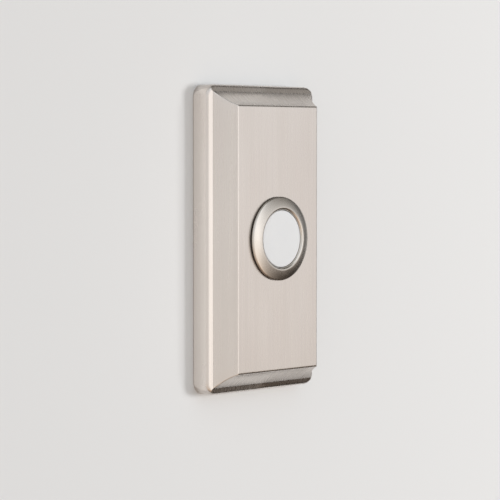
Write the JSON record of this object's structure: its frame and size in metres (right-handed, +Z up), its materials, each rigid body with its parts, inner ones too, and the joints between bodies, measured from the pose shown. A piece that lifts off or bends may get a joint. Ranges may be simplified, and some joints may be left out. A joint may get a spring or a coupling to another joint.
{
  "type": "doorbell push button",
  "caption": "Tall rectangular surface-mounted doorbell push: coved die-cast cover, domed round bezel, lit white push button and hidden wall plate.",
  "frame": {"origin": "centre of the two wall slots on the wall plane, straight behind the middle of the button", "axes": "+Z up along the cover's length, +X to the right seen from the front, +Y into the wall, so the button faces -Y"},
  "size_m": [0.053, 0.0155, 0.1],
  "materials": {
    "satin_nickel": "satin nickel plate over a die casting, brushed upright",
    "bright_nickel": "turned brass under smooth satin nickel plate",
    "plain_brass": "plain stamped or turned brass",
    "zinc_plated_steel": "zinc plated",
    "spring_steel": "drawn spring wire",
    "white_lens": "satin translucent white moulding",
    "dark_moulding": "dark phenolic moulding",
    "circuit_board": "green coated laminate",
    "clear_lamp": "clear epoxy",
    "resistor_body": "coated ceramic"
  },
  "bodies": {
    "housing": {"cover": "satin_nickel", "bezel_ring": "bright_nickel", "bezel_nut": "plain_brass", "lock_washer": "zinc_plated_steel", "return_spring": "spring_steel", "switch_base": "dark_moulding", "led_board": "circuit_board", "led_lamp": "clear_lamp", "series_resistor": "resistor_body", "rectifier_diode": "dark_moulding", "mounting_plate": "zinc_plated_steel", "cover_screw": "zinc_plated_steel", "terminal_left": "plain_brass", "terminal_right": "plain_brass", "contact_rivet_left": "plain_brass", "contact_rivet_right": "plain_brass", "clamp_washer_left": "zinc_plated_steel", "clamp_washer_right": "zinc_plated_steel", "terminal_screw_left": "zinc_plated_steel", "terminal_screw_right": "zinc_plated_steel"},
    "button": {"button_cap": "white_lens", "contact_ring": "plain_brass"}
  },
  "joints": [
    {"name": "button_press", "type": "slide", "parent": "housing", "child": "button", "axis": [0, 1, 0], "range_m": [0, 0.0015], "stiffness_N_per_m": 500, "springref_m": -0.003, "deforming": ["return_spring"]}
  ]
}
